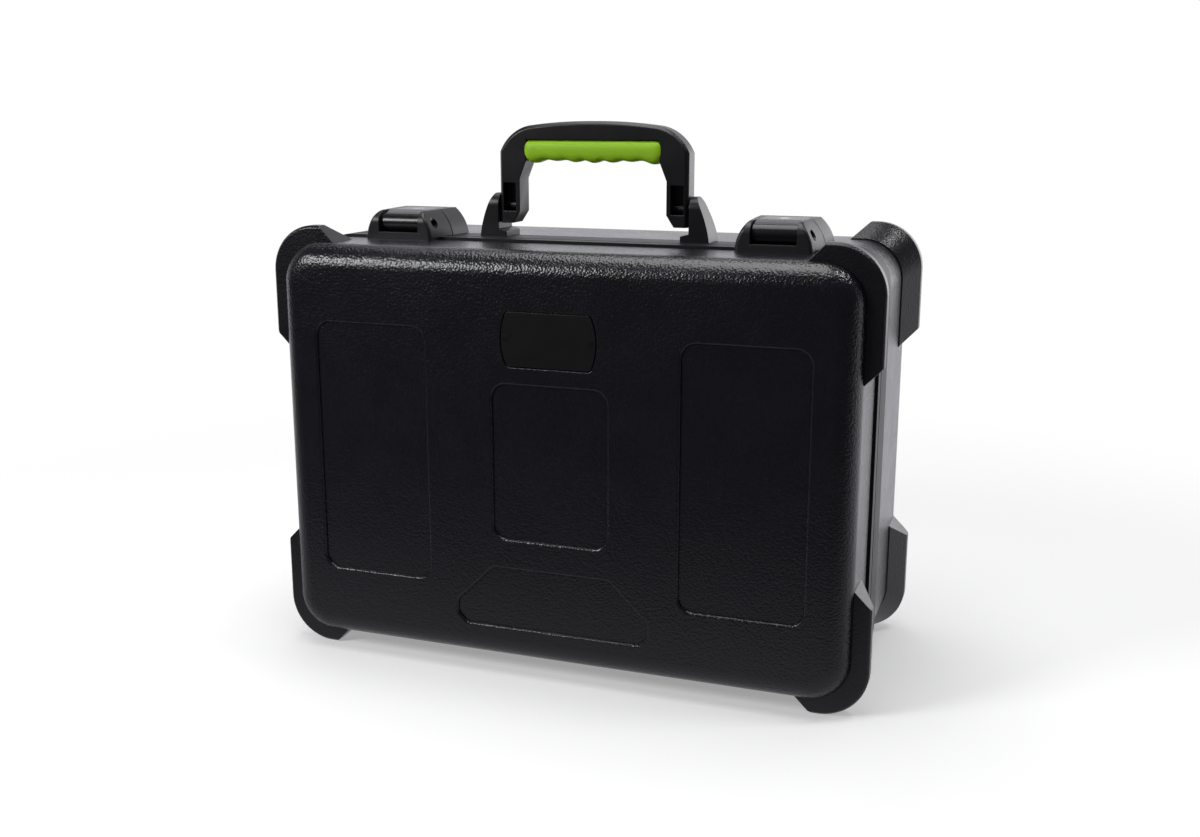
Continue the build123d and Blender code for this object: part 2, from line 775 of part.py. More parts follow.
ear_in = handle_half + ear_gap
pin_out = ear_in + ear_top_thick - pivot_ends[1]
for side, sx in sides:
    with BuildPart() as handle_bracket:
        with BuildSketch(upright(seam + bracket_front)):
            with BuildLine():
                tip = pivot_z + bracket_tip
                tip_out = ear_in + ear_top_thick - bracket_tip_slope
                bow_out, bow_up = bracket_bow
                Polyline(
                    (sx * bracket_foot_out, top),
                    (sx * bracket_foot_in, top),
                    (sx * bracket_foot_in, top + bracket_foot_high - bracket_foot_slope),
                    (sx * ear_in, top + bracket_foot_high),
                    (sx * ear_in, tip),
                    (sx * tip_out, tip),
                )
                ThreePointArc(
                    (sx * tip_out, tip),
                    (sx * (ear_in + ear_top_thick + bow_out), (top + tip) / 2 + bow_up),
                    (sx * bracket_foot_out, top),
                )
            make_face()
        extrude(amount=-(bracket_back - bracket_front))
        with BuildSketch(profile_plane(sx * ear_in)):
            with Locations((pivot_y, pivot_z)):
                Circle(bracket_round)
            with BuildLine():
                Polyline(
                    (seam + bracket_front, top),
                    (seam + bracket_back, top),
                    (seam + bracket_back, top + bracket_foot_high),
                    (pivot_y + bracket_round, pivot_z),
                    (pivot_y - bracket_round, pivot_z),
                    (seam + bracket_front, top + bracket_foot_high),
                    close=True,
                )
            make_face()
        extrude(amount=big / 4, both=True, mode=Mode.INTERSECT)
        with Locations((sx * (ear_in - past + pin_out) / 2, pivot_y, pivot_z)):
            Cylinder(
                pivot_radius,
                pin_out - ear_in + past,
                rotation=(0, 90, 0),
                mode=Mode.SUBTRACT,
            )
        seat_on_rail()
        near = [s for s in bracket_spots if s[0] * sx > 0]
        drill(near, top - past, rail_top + screw_bite)
    save(handle_bracket.part, f"handle_bracket_{side}")

with BuildPart() as handle_pins:
    for sx in (-1, 1):
        with Locations((sx * (pin_in + pin_out) / 2, pivot_y, pivot_z)):
            Cylinder(pivot_radius, pin_out - pin_in, rotation=(0, 90, 0))
save(handle_pins.part, "handle_pins")

# --- Hinges -----------------------------------------------------------------
knuckle_length = hinge_length / hinge_knuckles
leaf_drill_low = hinge_z - hinge_radius - past


def hinge_leaf_part(x_middle, towards, own_first):
    """A leaf with every other knuckle: towards is +1 for the tray and -1 for the lid."""
    leaf_top = bottom - rail_proud
    with BuildPart(mode=Mode.PRIVATE) as leaf:
        for knuckle in range(hinge_knuckles):
            x_place = x_middle + (knuckle - (hinge_knuckles - 1) / 2) * knuckle_length
            own = (knuckle % 2 == 0) == own_first
            near_end = 0.0 if own else hinge_radius + hinge_relief
            leaf_y = seam + towards * (near_end + hinge_leaf_reach) / 2
            with Locations((x_place, leaf_y, leaf_top - hinge_leaf / 2)):
                Box(knuckle_length, hinge_leaf_reach - near_end, hinge_leaf)
            if own:
                with Locations((x_place, seam, hinge_z)):
                    Cylinder(hinge_radius, knuckle_length - hinge_space, rotation=(0, 90, 0))
                neck_y = seam + towards * hinge_radius / 2
                with Locations((x_place, neck_y, (hinge_z + leaf_top) / 2)):
                    Box(knuckle_length - hinge_space, hinge_radius, leaf_top - hinge_z)
        bore = hinge_pin_radius if towards > 0 else hinge_pin_radius + running_gap
        with Locations((x_middle, seam, hinge_z)):
            Cylinder(bore, 2 * hinge_length, rotation=(0, 90, 0), mode=Mode.SUBTRACT)
    return leaf.part


for side, sx in sides:
    with BuildPart() as hinge_tray_leaf:
        add(hinge_leaf_part(sx * hinge_x, 1, True))
        drill([s for s in hinge_tray_spots if s[0] * sx > 0], leaf_drill_low, bottom)
    save(hinge_tray_leaf.part, f"hinge_tray_leaf_{side}")

    with BuildPart() as hinge_lid_leaf:
        add(hinge_leaf_part(sx * hinge_x, -1, False))
        drill([s for s in hinge_lid_spots if s[0] * sx > 0], leaf_drill_low, bottom)
    save(hinge_lid_leaf.part, f"hinge_lid_leaf_{side}")

    with BuildPart() as hinge_pin:
        with Locations((sx * hinge_x, seam, hinge_z)):
            Cylinder(hinge_pin_radius, hinge_length, rotation=(0, 90, 0))
    save(hinge_pin.part, f"hinge_pin_{side}")

# --- Fasteners --------------------------------------------------------------
leaf_under = bottom - rail_proud - hinge_leaf
fasteners("latch_rear_screws", latch_tray_spots, top - wall, rail_top + screw_bite)
fasteners("handle_bracket_screws", bracket_spots, top - wall, rail_top + screw_bite)
fasteners("latch_front_screws", latch_lid_spots, top - wall, rail_top + screw_bite)
fasteners("hinge_tray_rivets", hinge_tray_spots, leaf_under, bottom + wall)
fasteners("hinge_lid_rivets", hinge_lid_spots, leaf_under, bottom + wall)
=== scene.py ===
# %% [markdown]
# # A microphone case and its finish
# The case is already built as exact pieces: shells, rail, latches, handle, hinges and foam. This
# lesson gives each of them its surface, remakes the soft ones, and sets up a plain studio round
# them. It starts by loading that frame, whose pieces are never moved.

# %% Load the frame
import itertools
import json
import math

import bmesh
import bpy
from mathutils import Matrix, Vector

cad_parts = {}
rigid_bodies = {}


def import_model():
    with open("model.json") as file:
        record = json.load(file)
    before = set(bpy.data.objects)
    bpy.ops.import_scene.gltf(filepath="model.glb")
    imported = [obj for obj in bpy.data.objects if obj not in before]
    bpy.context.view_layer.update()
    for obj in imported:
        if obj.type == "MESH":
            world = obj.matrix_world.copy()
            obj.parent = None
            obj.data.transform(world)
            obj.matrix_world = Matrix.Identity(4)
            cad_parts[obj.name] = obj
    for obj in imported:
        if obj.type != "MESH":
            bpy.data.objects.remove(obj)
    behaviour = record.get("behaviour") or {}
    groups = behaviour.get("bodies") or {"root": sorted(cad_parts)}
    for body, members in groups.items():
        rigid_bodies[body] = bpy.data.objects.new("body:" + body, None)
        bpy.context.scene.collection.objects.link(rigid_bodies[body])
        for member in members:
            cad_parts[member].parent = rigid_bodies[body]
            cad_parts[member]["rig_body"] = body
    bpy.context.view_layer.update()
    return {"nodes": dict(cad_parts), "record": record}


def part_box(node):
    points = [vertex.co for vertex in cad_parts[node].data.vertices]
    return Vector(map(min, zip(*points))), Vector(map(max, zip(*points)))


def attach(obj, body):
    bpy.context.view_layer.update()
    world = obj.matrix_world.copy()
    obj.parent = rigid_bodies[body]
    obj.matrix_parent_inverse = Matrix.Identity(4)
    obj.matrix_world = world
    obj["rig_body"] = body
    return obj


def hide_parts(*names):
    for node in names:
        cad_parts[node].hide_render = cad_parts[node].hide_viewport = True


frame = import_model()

nodes = frame["nodes"]
scene = bpy.context.scene
mm = 0.001

# %% [markdown]
# ## The camera
# The picture is taken from a little above the case and to its right. A lens is easiest to state as
# the photograph's own focal length in pixels, because Blender's lens is that number times the
# sensor's width over the picture's width. The view's direction comes from two angles.

# %% Camera
picture_width = 1200
focal_length = 1329.6
camera_place = Vector((401.3, -1096.4, 472.2)) * mm
turn = math.radians(-20.16)
tilt = math.radians(-12.97)
sight = Vector((
    math.sin(turn) * math.cos(tilt),
    math.cos(turn) * math.cos(tilt),
    math.sin(tilt),
))

camera_data = bpy.data.cameras.new("camera")
camera_data.sensor_width = 36.0
camera_data.lens = focal_length / picture_width * camera_data.sensor_width
camera = bpy.data.objects.new("camera", camera_data)
camera.location = camera_place
camera.rotation_euler = sight.to_track_quat("-Z", "Y").to_euler()
scene.collection.objects.link(camera)
scene.camera = camera
scene.view_settings.view_transform = "Standard"
print("lens, mm:", round(camera_data.lens, 2))

# %% [markdown]
# ## Node helpers
# Every finish below is a small network of shader nodes. A few short helpers keep them readable.
# They add a node and set its values, join two sockets, start a reusable group, do arithmetic, and
# stretch or mix what a node puts out.

# %% Helpers for nodes
white = (1, 1, 1, 1)


def add_node(tree, kind, **values):
    """A node of that kind, with its settings or its inputs' values set by name."""
    node = tree.nodes.new(kind)
    for name, value in values.items():
        if hasattr(node, name):
            setattr(node, name, value)
        else:
            node.inputs[name].default_value = value
    return node


def join(tree, source, target):
    """Link an output socket to an input socket."""
    tree.links.new(source, target)


def new_group(name, inputs, outputs):
    """A shader node group with named value inputs and outputs."""
    group = bpy.data.node_groups.new(name, "ShaderNodeTree")
    kind = "NodeSocketFloat"
    for label, value in inputs.items():
        socket = group.interface.new_socket(name=label, in_out="INPUT", socket_type=kind)
        socket.default_value = value
    for label in outputs:
        group.interface.new_socket(name=label, in_out="OUTPUT", socket_type=kind)
    return group, group.nodes.new("NodeGroupInput"), group.nodes.new("NodeGroupOutput")


def math_node(tree, operation, first, second=None):
    """A Math node whose inputs are sockets or plain numbers."""
    node = tree.nodes.new("ShaderNodeMath")
    node.operation = operation
    for slot, value in enumerate((first, second)):
        if value is None:
            continue
        if isinstance(value, (int, float)):
            node.inputs[slot].default_value = value
        else:
            join(tree, value, node.inputs[slot])
    return node.outputs[0]


def ranged(tree, value, low, high, to_low, to_high):
    """The value's range low to high, stretched smoothly to another one."""
    node = tree.nodes.new("ShaderNodeMapRange")
    node.interpolation_type = "SMOOTHSTEP"
    join(tree, value, node.inputs["Value"])
    names = ("From Min", "From Max", "To Min", "To Max")
    for name, number in zip(names, (low, high, to_low, to_high)):
        node.inputs[name].default_value = number
    return node.outputs[0]


def mixed_colour(tree, share, first, second):
    """A colour that goes from first to second as share goes from 0 to 1."""
    mix = add_node(tree, "ShaderNodeMix", data_type="RGBA")
    # A Mix node has sockets for each kind of data. Colours go in at 6 and 7, and come out at 2.
    mix.inputs[6].default_value = (*first, 1)
    mix.inputs[7].default_value = (*second, 1)
    join(tree, share, mix.inputs[0])
    return mix.outputs[2]


def mixed_shader(tree, share, first, second):
    """A shader that is first where share is 0 and second where share is 1."""
    mix = add_node(tree, "ShaderNodeMixShader")
    for slot, source in enumerate((share, first, second)):
        join(tree, source, mix.inputs[slot])
    return mix.outputs[0]


# %% [markdown]
# ## Grain
# The shells come out of a mould whose walls are etched, so they carry a fine pebble all over.
# Where light grazes it, the pebble breaks the highlight into specks. Rounded cells from a Voronoi
# texture make the pebbles, and a Noise texture keeps them from looking regular. Rubber, foam and
# the smooth mouldings use the same group at other sizes.

# %% Grain group
mm_in_a_metre = 1000.0
grain_group, grain_in, grain_out = new_group(
    "moulded_grain", {"Size": 1.4, "Uneven": 0.5}, ("Height",)
)
place = add_node(grain_group, "ShaderNodeTexCoord").outputs["Object"]
per_metre = math_node(grain_group, "DIVIDE", mm_in_a_metre, grain_in.outputs["Size"])
pebbles = add_node(grain_group, "ShaderNodeTexVoronoi", feature="SMOOTH_F1", Smoothness=0.6)
broken = add_node(grain_group, "ShaderNodeTexNoise", Detail=3.0, Roughness=0.6)
for texture in (pebbles, broken):
    join(grain_group, place, texture.inputs["Vector"])
    join(grain_group, per_metre, texture.inputs["Scale"])
raised = math_node(grain_group, "SUBTRACT", 1.0, pebbles.outputs["Distance"])
scattered = math_node(
    grain_group, "MULTIPLY", broken.outputs["Fac"], grain_in.outputs["Uneven"]
)
join(grain_group, math_node(grain_group, "ADD", raised, scattered), grain_out.inputs["Height"])
print("grain group:", len(grain_group.nodes), "nodes")

# %% [markdown]
# ## Handling marks
# A case that has been carried has a slightly uneven sheen, with broad dull patches where hands and
# cloths have been. This group puts out a value that goes up and down between -1 and 1 over a few
# centimetres. Each material uses it to vary its roughness and, a little, its colour.

# %% Handling group
patch_low, patch_high = 0.35, 0.65
marks_group, marks_in, marks_out = new_group("handling_marks", {"Patch": 45.0}, ("Dullness",))
place = add_node(marks_group, "ShaderNodeTexCoord").outputs["Object"]
per_metre = math_node(marks_group, "DIVIDE", mm_in_a_metre, marks_in.outputs["Patch"])
patches = add_node(
    marks_group, "ShaderNodeTexNoise", Detail=5.0, Roughness=0.62, Distortion=0.6
)
join(marks_group, place, patches.inputs["Vector"])
join(marks_group, per_metre, patches.inputs["Scale"])
dullness = ranged(marks_group, patches.outputs["Fac"], patch_low, patch_high, -1.0, 1.0)
join(marks_group, dullness, marks_out.inputs["Dullness"])
print("handling group:", len(marks_group.nodes), "nodes")

# %% [markdown]
# ## One recipe for moulded finishes
# Most of the case is plastic or rubber that differs only in colour, gloss and grain. The recipe
# places both groups in a material, lets the marks move the roughness and tint the colour a little,
# and lets the grain bend the light through a Bump node.

# %% Moulded finish


def new_material(name):
    """A material, its node tree and its Principled shader."""
    material = bpy.data.materials.new(name)
    material.use_nodes = True
    tree = material.node_tree
    return material, tree, tree.nodes["Principled BSDF"]


def bend_light(tree, shader, height, depth, strength=1.0):
    """Let a height map, whose relief is depth millimetres, tilt the shader's normals."""
    bump = add_node(tree, "ShaderNodeBump", Strength=strength, Distance=depth * mm)
    join(tree, height, bump.inputs["Height"])
    join(tree, bump.outputs["Normal"], shader.inputs["Normal"])


def moulded(
    name, colour, roughness, grain, depth, marks=0.02, specular=0.5, tint=0.03, uneven=0.5
):
    """A plastic or rubber. The grain is its pebble's size and depth its height, both in mm."""
    material, tree, shader = new_material(name)
    shader.inputs["Specular IOR Level"].default_value = specular

    pebble = add_node(tree, "ShaderNodeGroup", node_tree=grain_group)
    pebble.inputs["Size"].default_value = grain
    pebble.inputs["Uneven"].default_value = uneven
    bend_light(tree, shader, pebble.outputs["Height"], depth)

    worn = add_node(tree, "ShaderNodeGroup", node_tree=marks_group)
    dull = math_node(tree, "MULTIPLY", worn.outputs["Dullness"], marks)
    join(tree, math_node(tree, "ADD", dull, roughness), shader.inputs["Roughness"])

    darker = [channel * (1 - tint) for channel in colour]
    lighter = [channel * (1 + tint) for channel in colour]
    share = ranged(tree, worn.outputs["Dullness"], -1.0, 1.0, 0.0, 1.0)
    join(tree, mixed_colour(tree, share, darker, lighter), shader.inputs["Base Color"])
    return material


shell_plastic = moulded(
    "shell_plastic", (0.0056, 0.0057, 0.0090), 0.25, 1.9, 0.32, specular=0.6
)
bumper_plastic = moulded("bumper_plastic", (0.0052, 0.0053, 0.0080), 0.33, 1.8, 0.20)
rail_plastic = moulded("rail_plastic", (0.006, 0.006, 0.008), 0.46, 0.7, 0.006, specular=0.35)
latch_plastic = moulded("latch_plastic", (0.011, 0.011, 0.014), 0.38, 0.7, 0.012)
lever_plastic = moulded("lever_plastic", (0.006, 0.006, 0.0075), 0.26, 0.5, 0.001, marks=0.01)
handle_plastic = moulded("handle_plastic", (0.0056, 0.0056, 0.0076), 0.34, 0.8, 0.010)
grip_rubber = moulded("grip_rubber", (0.31, 0.60, 0.010), 0.46, 0.5, 0.006, specular=0.4)
seal_rubber = moulded("seal_rubber", (0.008, 0.008, 0.008), 0.6, 0.5, 0.01)
plate_plastic = moulded("plate_plastic", (0.005, 0.005, 0.006), 0.34, 0.6, 0.006)
foam_black = moulded(
    "foam_black", (0.028, 0.028, 0.030), 0.95, 1.1, 0.28, specular=0.1, uneven=1.2
)
print("moulded finishes:", len(bpy.data.materials))

# %% [markdown]
# ## Metals
# Screws and locks are plated steel. The plate's rivets are painted black, and the pins that show
# are made as dark, which is painted shade for the pockets and holes they sit in. The hinges are
# painted black. Turned metal shows fine marks in one direction, which a Noise texture stretched
# along one axis gives.

# %% Metal finish
marks_per_metre = (40.0, 900.0, 900.0)
mark_low, mark_high = 0.3, 0.7
mark_depth = 0.01
mark_strength = 0.3
shade_between_marks = 0.8


def metal(name, colour, roughness, brushed=0.06):
    """A turned metal, whose roughness goes up and down by brushed along its marks."""
    material, tree, shader = new_material(name)
    shader.inputs["Metallic"].default_value = 1.0
    place = add_node(tree, "ShaderNodeTexCoord").outputs["Object"]
    stretch = add_node(tree, "ShaderNodeMapping", Scale=marks_per_metre)
    join(tree, place, stretch.inputs["Vector"])
    marks = add_node(tree, "ShaderNodeTexNoise", Detail=4.0)
    join(tree, stretch.outputs["Vector"], marks.inputs["Vector"])
    mark = marks.outputs["Fac"]
    smoothest, roughest = roughness - brushed, roughness + brushed
    rough = ranged(tree, mark, mark_low, mark_high, smoothest, roughest)
    join(tree, rough, shader.inputs["Roughness"])
    shaded = [channel * shade_between_marks for channel in colour]
    join(tree, mixed_colour(tree, mark, shaded, colour), shader.inputs["Base Color"])
    bend_light(tree, shader, mark, mark_depth, mark_strength)
    return material


plated_steel = metal("plated_steel", (0.42, 0.42, 0.43), 0.34)
lock_steel = metal("lock_steel", (0.50, 0.50, 0.51), 0.28)
# Black paint on the rivets, and painted shade on the pins, which sit in pockets and holes.
rivet_black_and_pin_shade = metal("rivet_black_and_pin_shade", (0.045, 0.045, 0.050), 0.40)
hinge_black = moulded("hinge_black", (0.012, 0.012, 0.012), 0.42, 0.8, 0.01)
print("finishes:", len(bpy.data.materials))

# %% [markdown]
# ## Which edges stay crisp
# No moulded or cast edge is truly sharp, and it is the small roundings that catch the light. A few
# edges are still left alone. They are the ones buried in a neighbour, the bores that pins turn in,
# and the foot of each sunk panel. Each is known by where it stands, and those places are worked
# out from the pieces' own boxes.

# %% Edges that stay crisp
shell_low, shell_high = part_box("lid_shell")
shell_middle = (shell_low + shell_high) / 2
shell_half = (shell_high - shell_low) / 2
shell_corner = 34 * mm
buried = 1.3 * mm
panel_floor = shell_low.y + 2.5 * mm
panel_floor_band = 0.3 * mm
foot_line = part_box("tray_rail")[1].z + 0.4 * mm
pivot_bore = 5.5 * mm
barrel_bore = 6 * mm


def middle_of(node):
    """The middle of a piece's box."""
    low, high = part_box(node)
    return (low + high) / 2


pivot_axis = middle_of("handle_pins")
barrel_axis = middle_of("latch_pin_left")


def off_shell(point):
    """How far a point stands outside the shells' outline, seen from the front."""
    over_x = abs(point.x) - (shell_half.x - shell_corner)
    over_z = abs(point.z - shell_middle.z) - (shell_half.z - shell_corner)
    if over_x > 0 and over_z > 0:
        return math.hypot(over_x, over_z) - shell_corner
    return max(over_x, over_z) - shell_corner


def from_axis(point, axis):
    """How far a point is from an axis that runs across the case."""
    return math.hypot(point.y - axis.y, point.z - axis.z)


def stays_crisp(node, point):
    """True at an edge that is hidden, or belongs to a bore or the foot of a sunk panel."""
    if "_bumper_" in node:
        return off_shell(point) < buried
    if node == "lid_shell":
        return abs(point.y - panel_floor) < panel_floor_band
    if node == "handle_frame":
        return from_axis(point, pivot_axis) < pivot_bore
    if node.startswith("handle_bracket"):
        return point.z < foot_line or from_axis(point, pivot_axis) < pivot_bore
    if node.startswith(("latch_front", "latch_rear")):
        return point.z < foot_line or from_axis(point, barrel_axis) < barrel_bore
    return False


print("pivot and barrel at, mm:", [round(axis.z / mm, 1) for axis in (pivot_axis, barrel_axis)])

# %% [markdown]
# ## Softened copies
# A piece's mesh is copied, its loose triangles are merged, and every long run of edges that turns
# sharply is bevelled. The bevel's own limit would shrink the rounding everywhere to suit the
# tightest corner, so it is off. Instead the width steps down, only as far as it must until no edge
# that shows folds over. Each width is tried on merged flat faces and on well shaped triangles,
# because a face with a hole in it can overlap itself when it is bevelled. The rims of screw holes
# are short runs and stay as they are. The original stays but isn't shown.

# %% Helpers for edges
merge_distance = 0.01 * mm
flat_within = 0.3
sharp_from = 24
shaded_sharp_from = 40
folded_from = 120
bevel_segments = 3


def turns(edge, degrees):
    """True where two faces meet at an edge and turn by more than that many degrees."""
    return len(edge.link_faces) == 2 and edge.calc_face_angle() > math.radians(degrees)


def halfway(edge):
    """The middle of an edge."""
    return (edge.verts[0].co + edge.verts[1].co) / 2


def long_runs(edges, least):
    """The edges whose connected run is longer than least."""
    waiting = set(edges)
    kept = []
    while waiting:
        run = [waiting.pop()]
        for edge in run:
            for vert in edge.verts:
                for other in vert.link_edges:
                    if other in waiting:
                        waiting.discard(other)
                        run.append(other)
        if sum(edge.calc_length() for edge in run) > least:
            kept += run
    return sorted(kept, key=lambda edge: edge.index)


def bevelled(node, width, hole_rim, merged):
    """The node's mesh with its long sharp edges rounded by width, in triangles."""
    bm = bmesh.new()
    bm.from_mesh(nodes[node].data)
    if width == 0:
        return bm
    bmesh.ops.remove_doubles(bm, verts=bm.verts, dist=merge_distance)
    bmesh.ops.dissolve_limit(
        bm, angle_limit=math.radians(flat_within), verts=bm.verts, edges=bm.edges,
        delimit={"NORMAL"},
    )
    if not merged:
        bmesh.ops.triangulate(bm, faces=bm.faces, quad_method="BEAUTY", ngon_method="BEAUTY")
    bm.edges.index_update()
    runs = long_runs([edge for edge in bm.edges if turns(edge, sharp_from)], hole_rim)
    chosen = [edge for edge in runs if not stays_crisp(node, halfway(edge))]
    bmesh.ops.bevel(
        bm, geom=chosen, offset=width, segments=bevel_segments, profile=0.5,
        affect="EDGES", clamp_overlap=False, material=-1,
    )
    bmesh.ops.triangulate(bm, faces=bm.faces)
    return bm


def folds_over(bm, node):
    """True if the bevel has turned the mesh back on itself at an edge that shows."""
    return any(
        turns(edge, folded_from) and not stays_crisp(node, halfway(edge)) for edge in bm.edges
    )


# %% Helpers for pieces
slots = {part["node"]: part["material_slot"] for part in frame["record"]["subparts"]}
width_steps = (1.0, 0.85, 0.7, 0.6, 0.5, 0.4, 0.3, 0.2, 0.0)


def piece_from(bm, name, material, body):
    """Finish a bmesh as a smooth-shaded object that rides on a body."""
    mesh = bpy.data.meshes.new(name)
    bm.to_mesh(mesh)
    bm.free()
    mesh.shade_smooth()
    piece = bpy.data.objects.new(name, mesh)
    scene.collection.objects.link(piece)
    mesh.materials.append(material)
    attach(piece, body)
    return piece


def softened(node, material, width, hole_rim=33 * mm):
    """Show a copy of a node whose sharp edges are rounded by up to width, in millimetres."""
    for share, merged in itertools.product(width_steps, (True, False)):
        bm = bevelled(node, width * share * mm, hole_rim, merged)
        if share == 0 or not folds_over(bm, node):
            break
        bm.free()
    for edge in bm.edges:
        edge.smooth = not turns(edge, shaded_sharp_from)
    piece = piece_from(bm, node + "_soft", material, nodes[node]["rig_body"])
    weighted = piece.modifiers.new("even_shading", "WEIGHTED_NORMAL")
    weighted.keep_sharp = True
    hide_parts(node)
    print(node, "rounded by", round(width * share, 2), "mm,", len(piece.data.polygons), "faces")


# %% [markdown]
# ## Which finish goes where
# Every exact piece names the kind of material it is made of, so one table gives each its finish.
# The few pins and rivets that show are darker than the screws: the rivets for their black paint,
# the pins as painted shade for their pockets and holes. Which pieces are softened, and by how much
# at most, is a second table. On the turned pieces, even the short runs are rounded.

# %% Finishes for the exact pieces
finishes = {
    "shell_plastic": shell_plastic, "bumper_plastic": bumper_plastic,
    "rail_plastic": rail_plastic, "latch_plastic": latch_plastic,
    "lever_plastic": lever_plastic, "handle_plastic": handle_plastic,
    "grip_rubber": grip_rubber, "seal_rubber": seal_rubber, "foam": foam_black,
    "plate": plate_plastic, "fastener_steel": plated_steel, "hinge_steel": hinge_black,
    "lock_metal": lock_steel,
}
finish_of = {name: finishes[slots[name]] for name in nodes}
# The rivets are painted black; the pins get the same dark finish as painted shade for their
# pockets.
for name in ("name_plate_rivets", "handle_pins", "latch_pin_left", "latch_pin_right"):
    finish_of[name] = rivet_black_and_pin_shade
for name, node in nodes.items():
    node.data.materials.clear()
    node.data.materials.append(finish_of[name])
print("exact pieces:", len(nodes))

# %% Soften the pieces that show
edge_widths = {
    "lid_shell": 0.75, "tray_shell": 0.9, "name_plate": 0.4, "handle_frame": 0.8,
    "tray_rail": 0.5, "lid_rail": 0.4,
}
paired_widths = {
    "handle_bracket": 0.8, "latch_front": 0.8, "latch_rear": 0.7, "latch_lever": 0.56,
}
for side, (kind, width) in itertools.product(("left", "right"), paired_widths.items()):
    edge_widths[f"{kind}_{side}"] = width
edge_widths.update({name: 1.0 for name in nodes if "_bumper_" in name})
turned_widths = {"latch_lock_left": 0.3, "latch_lock_right": 0.3, "name_plate_rivets": 0.08}

for name, width in edge_widths.items():
    softened(name, finish_of[name], width)
for name, width in turned_widths.items():
    softened(name, finish_of[name], width, hole_rim=0)

# %% [markdown]
# ## The grip
# The grip is soft rubber moulded round the handle's bar. Its underside has a low wave for the
# fingers and its ends swell a little. It is drawn as one ring of the bar's section, which is
# extruded along the bar and reshaped at each step by two short formulas.

# %% Grip
grip_low, grip_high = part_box("handle_grip")
grip_middle = (grip_low + grip_high) / 2
grip_half = (grip_high - grip_low) / 2
ring_sides = 32
grip_steps = 84
squareness = 0.62
round_length = 8 * mm
end_fullness = 0.5
finger_spacing = 17.2 * mm
waves_reach = 34 * mm
base_drop = 0.5 * mm
deepest_drop = 2.6 * mm
lobe_place = 55 * mm
lobe_width = 7 * mm


def grip_end(x):
    """How full the section is at x: 1 along the bar, falling round at the ends."""
    past = max(0.0, abs(x) - (grip_half.x - round_length)) / round_length
    return math.sqrt(max(0.0, 1 - past * past))


def finger_drop(x):
    """How far the underside hangs below its hollows at x."""
    across = math.exp(-(x / waves_reach) ** 2)
    wave = 0.5 + 0.5 * math.cos(2 * math.pi * x / finger_spacing)
    end_lobe = math.exp(-((abs(x) - lobe_place) / lobe_width) ** 2)
    waved = base_drop + (deepest_drop - base_drop) * wave
    return across * waved + (1 - across) * base_drop * wave + deepest_drop * end_lobe


bm = bmesh.new()
ring = bmesh.ops.create_circle(bm, segments=ring_sides, radius=1.0)["verts"]
bmesh.ops.rotate(bm, verts=ring, matrix=Matrix.Rotation(math.pi / 2, 3, "Y"))
around = [(vert.co.y, vert.co.z) for vert in ring]
edges = list(bm.edges)
hollow_low = grip_low.z + deepest_drop
middle = (grip_high.z + hollow_low) / 2
for step in range(grip_steps + 1):
    x = -grip_half.x * math.cos(math.pi * step / grip_steps)
    fullness = end_fullness + (1 - end_fullness) * grip_end(x)
    under = hollow_low - finger_drop(x)
    for vert, (y, z) in zip(ring, around):
        flat_y = math.copysign(abs(y) ** squareness, y)
        flat_z = math.copysign(abs(z) ** squareness, z)
        reach_z = (grip_high.z - middle) if z > 0 else (middle - under)
        out_y = grip_middle.y + flat_y * grip_half.y * fullness
        vert.co = (x, out_y, middle + flat_z * reach_z * fullness)
    if step < grip_steps:
        grown = bmesh.ops.extrude_edge_only(bm, edges=edges)["geom"]
        edges = [item for item in grown if isinstance(item, bmesh.types.BMEdge)]
        ring = [item for item in grown if isinstance(item, bmesh.types.BMVert)]
bmesh.ops.holes_fill(bm, edges=[edge for edge in bm.edges if edge.is_boundary], sides=0)
bmesh.ops.recalc_face_normals(bm, faces=bm.faces)
grip = piece_from(bm, "grip_sleeve", grip_rubber, "handle")
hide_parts("handle_grip")
print("grip:", len(grip.data.polygons), "faces")

# %% [markdown]
# ## The microphone foam
# The insert is a block of dense foam with a die-cut hole for each microphone. A flat curve suits
# it: one rounded rectangle with circles inside it fills to a plate with holes. The curve's own
# extrude gives it thickness and its bevel rolls the lips over, as cut foam does.

# %% Sizes of the foam block
foam_nodes = [f"microphone_foam_{course}" for course in (1, 2, 3, 4)]
foam_boxes = [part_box(name) for name in foam_nodes]
foam_low = Vector([min(low[axis] for low, high in foam_boxes) for axis in range(3)])
foam_high = Vector([max(high[axis] for low, high in foam_boxes) for axis in range(3)])
foam_middle = (foam_low + foam_high) / 2
hole_radius = 26 * mm
hole_pitch = (92 * mm, 104 * mm)
foam_corner = 26.5 * mm
lip = 1.5 * mm
quarter_circle_pull = 0.5523
print("foam block, mm:", [round(size / mm, 1) for size in foam_high - foam_low])

# %% Helpers for outlines


def add_loop(curve, points, handles):
    """A closed bezier loop through points, with one pair of handle offsets for each."""
    loop = curve.splines.new("BEZIER")
    loop.bezier_points.add(len(points) - 1)
    loop.use_cyclic_u = True
    for knot, (x, y), (before, after) in zip(loop.bezier_points, points, handles):
        knot.co = (x, y, 0)
        knot.handle_left = (x + before[0], y + before[1], 0)
        knot.handle_right = (x + after[0], y + after[1], 0)


def add_circle(curve, x, y, radius):
    """A circle of four bezier knots."""
    pull = quarter_circle_pull * radius
    quarter = [(1, 0), (0, 1), (-1, 0), (0, -1)]
    points = [(x + radius * a, y + radius * b) for a, b in quarter]
    handles = [((pull * b, -pull * a), (-pull * b, pull * a)) for a, b in quarter]
    add_loop(curve, points, handles)


